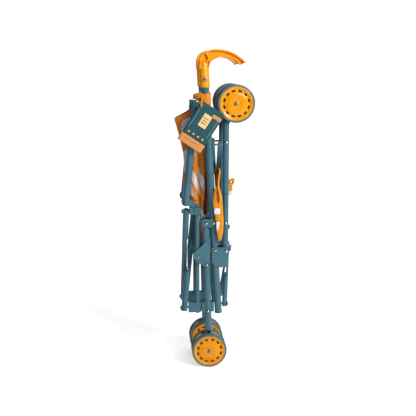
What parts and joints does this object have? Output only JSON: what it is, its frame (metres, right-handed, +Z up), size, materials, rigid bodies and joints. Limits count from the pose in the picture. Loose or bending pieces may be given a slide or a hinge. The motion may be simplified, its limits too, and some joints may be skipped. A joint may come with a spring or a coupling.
{
  "type": "doll stroller",
  "caption": "Folding umbrella doll stroller with two hooked handles, crossing bars, swing-up rear legs, paired dished wheels and a cloth sling seat, stored folded.",
  "frame": {"origin": "on the floor, under the middle of the folded stroller's bounding box", "axes": "+X to the rear (the pusher's side), +Y to the stroller's right, +Z up along the folded stroller"},
  "size_m": [0.149, 0.1001, 0.625],
  "materials": {
    "frame_blue": "satin paint",
    "tyre_blue": "moulded",
    "disc_orange": "glossy",
    "handle_orange": "glossy",
    "rivet_steel": "bright",
    "seat_cloth": "woven cotton",
    "strap_webbing": "woven",
    "buckle_white": "glossy",
    "tag_card": "printed card"
  },
  "bodies": {
    "left_frame": {"left_handle_tube": "frame_blue", "left_front_leg": "frame_blue", "left_guide_rod": "frame_blue", "left_top_clip": "frame_blue", "left_seat_plates": "frame_blue", "left_hinge_plates": "frame_blue", "left_foot_block": "frame_blue", "left_handle": "handle_orange", "left_rivets": "rivet_steel", "left_end_caps": "frame_blue", "left_fabric_loop": "strap_webbing", "back_fabric": "seat_cloth", "harness_straps": "strap_webbing", "hang_tag": "tag_card"},
    "right_frame": {"right_handle_tube": "frame_blue", "right_front_leg": "frame_blue", "right_guide_rod": "frame_blue", "right_top_clip": "frame_blue", "right_seat_plates": "frame_blue", "right_hinge_plates": "frame_blue", "right_foot_block": "frame_blue", "right_handle": "handle_orange", "right_rivets": "rivet_steel", "right_end_caps": "frame_blue", "right_fabric_loop": "strap_webbing"},
    "left_slider": {"left_slider": "frame_blue"},
    "left_seat": {"left_seat_tube": "frame_blue", "seat_fabric": "seat_cloth"},
    "left_rear_leg": {"left_rear_leg": "frame_blue", "left_rear_rivets": "rivet_steel"},
    "right_slider": {"right_slider": "frame_blue"},
    "right_seat": {"right_seat_tube": "frame_blue"},
    "right_rear_leg": {"right_rear_leg": "frame_blue", "right_rear_rivets": "rivet_steel", "storage_strap": "strap_webbing", "harness_buckle": "buckle_white"},
    "front_cross_a": {"front_cross_bar_a": "frame_blue"},
    "front_cross_b": {"front_cross_bar_b": "frame_blue"},
    "rear_cross_a": {"rear_cross_bar_a": "frame_blue"},
    "rear_cross_b": {"rear_cross_bar_b": "frame_blue"},
    "left_lock": {"left_lock_link": "frame_blue"},
    "right_lock": {"right_lock_link": "frame_blue"},
    "left_front_outer_wheel": {"left_front_outer_tyre": "tyre_blue", "left_front_outer_disc": "disc_orange"},
    "left_front_inner_wheel": {"left_front_inner_tyre": "tyre_blue", "left_front_inner_disc": "disc_orange"},
    "left_rear_outer_wheel": {"left_rear_outer_tyre": "tyre_blue", "left_rear_outer_disc": "disc_orange"},
    "left_rear_inner_wheel": {"left_rear_inner_tyre": "tyre_blue", "left_rear_inner_disc": "disc_orange"},
    "right_front_outer_wheel": {"right_front_outer_tyre": "tyre_blue", "right_front_outer_disc": "disc_orange"},
    "right_front_inner_wheel": {"right_front_inner_tyre": "tyre_blue", "right_front_inner_disc": "disc_orange"},
    "right_rear_outer_wheel": {"right_rear_outer_tyre": "tyre_blue", "right_rear_outer_disc": "disc_orange"},
    "right_rear_inner_wheel": {"right_rear_inner_tyre": "tyre_blue", "right_rear_inner_disc": "disc_orange"}
  },
  "joints": [
    {"name": "rear_leg_fold", "type": "hinge", "parent": "left_frame", "child": "left_rear_leg", "pos_m": [0.023, -0.031, 0.241], "axis": [0, 1, 0], "range_deg": [0, 90]},
    {"name": "frame_spread", "type": "slide", "parent": "left_frame", "child": "right_frame", "axis": [0, 1, 0], "range_m": [0, 0.06672]},
    {"name": "right_rear_leg_fold", "type": "hinge", "parent": "right_frame", "child": "right_rear_leg", "pos_m": [0.023, 0.031, 0.241], "axis": [0, 1, 0], "range_deg": [0, 90.01]},
    {"name": "left_slider_travel", "type": "slide", "parent": "left_frame", "child": "left_slider", "axis": [0, 0, -1], "range_m": [0, 0.03549]},
    {"name": "right_slider_travel", "type": "slide", "parent": "right_frame", "child": "right_slider", "axis": [0, 0, -1], "range_m": [0, 0.03549]},
    {"name": "seat_fold", "type": "hinge", "parent": "left_slider", "child": "left_seat", "pos_m": [-0.0537, -0.031, 0.341], "axis": [0, -1, 0], "range_deg": [0, 117.01]},
    {"name": "seat_spread", "type": "slide", "parent": "left_seat", "child": "right_seat", "axis": [0, 1, 0], "range_m": [0, 0.06672]},
    {"name": "front_cross_a_swing", "type": "hinge", "parent": "left_frame", "child": "front_cross_a", "pos_m": [-0.0585, -0.031, 0.125], "axis": [-1, 0, 0], "range_deg": [0, 20.68]},
    {"name": "front_cross_b_swing", "type": "hinge", "parent": "right_frame", "child": "front_cross_b", "pos_m": [-0.0565, 0.031, 0.125], "axis": [1, 0, 0], "range_deg": [0, 21.09]},
    {"name": "rear_cross_a_swing", "type": "hinge", "parent": "left_frame", "child": "rear_cross_a", "pos_m": [0.0223, -0.031, 0.13], "axis": [-0.9271, 0.3696, -0.0629], "range_deg": [0, 32.31]},
    {"name": "rear_cross_b_swing", "type": "hinge", "parent": "right_frame", "child": "rear_cross_b", "pos_m": [0.0223, 0.031, 0.13], "axis": [0.9271, 0.3696, 0.0629], "range_deg": [0, 32.31]},
    {"name": "left_lock_swing", "type": "hinge", "parent": "left_rear_leg", "child": "left_lock", "pos_m": [0.0097, -0.031, 0.45], "axis": [1, 0, 0], "range_deg": [0, 61.22]},
    {"name": "right_lock_swing", "type": "hinge", "parent": "right_rear_leg", "child": "right_lock", "pos_m": [0.0063, 0.031, 0.45], "axis": [-1, 0, 0], "range_deg": [0, 61.22]},
    {"name": "left_front_outer_spin", "type": "hinge", "parent": "left_frame", "child": "left_front_outer_wheel", "pos_m": [-0.0095, -0.042, 0.035], "axis": [0, 1, 0], "continuous": true},
    {"name": "left_front_inner_spin", "type": "hinge", "parent": "left_frame", "child": "left_front_inner_wheel", "pos_m": [-0.0095, -0.02, 0.035], "axis": [0, 1, 0], "continuous": true},
    {"name": "left_rear_outer_spin", "type": "hinge", "parent": "left_rear_leg", "child": "left_rear_outer_wheel", "pos_m": [0.0405, -0.042, 0.527], "axis": [0, 1, 0], "continuous": true},
    {"name": "left_rear_inner_spin", "type": "hinge", "parent": "left_rear_leg", "child": "left_rear_inner_wheel", "pos_m": [0.0405, -0.02, 0.527], "axis": [0, 1, 0], "continuous": true},
    {"name": "right_front_outer_spin", "type": "hinge", "parent": "right_frame", "child": "right_front_outer_wheel", "pos_m": [-0.0095, 0.042, 0.035], "axis": [0, 1, 0], "continuous": true},
    {"name": "right_front_inner_spin", "type": "hinge", "parent": "right_frame", "child": "right_front_inner_wheel", "pos_m": [-0.0095, 0.02, 0.035], "axis": [0, 1, 0], "continuous": true},
    {"name": "right_rear_outer_spin", "type": "hinge", "parent": "right_rear_leg", "child": "right_rear_outer_wheel", "pos_m": [0.0405, 0.042, 0.527], "axis": [0, 1, 0], "continuous": true},
    {"name": "right_rear_inner_spin", "type": "hinge", "parent": "right_rear_leg", "child": "right_rear_inner_wheel", "pos_m": [0.0405, 0.02, 0.527], "axis": [0, 1, 0], "continuous": true}
  ],
  "couplings": [
    {"joint": "frame_spread", "follows": "rear_leg_fold", "m_per_rad": 0.042469},
    {"joint": "right_rear_leg_fold", "follows": "rear_leg_fold", "ratio": 1},
    {"joint": "left_slider_travel", "follows": "rear_leg_fold", "m_per_rad": 0.022587},
    {"joint": "right_slider_travel", "follows": "rear_leg_fold", "m_per_rad": 0.022587},
    {"joint": "seat_fold", "follows": "rear_leg_fold", "ratio": 1.3},
    {"joint": "seat_spread", "follows": "rear_leg_fold", "m_per_rad": 0.042469},
    {"joint": "front_cross_a_swing", "follows": "rear_leg_fold", "ratio": 0.22969},
    {"joint": "front_cross_b_swing", "follows": "rear_leg_fold", "ratio": 0.23424},
    {"joint": "rear_cross_a_swing", "follows": "rear_leg_fold", "ratio": 0.35888},
    {"joint": "rear_cross_b_swing", "follows": "rear_leg_fold", "ratio": 0.35888},
    {"joint": "left_lock_swing", "follows": "rear_leg_fold", "ratio": 0.68006},
    {"joint": "right_lock_swing", "follows": "rear_leg_fold", "ratio": 0.68006}
  ]
}
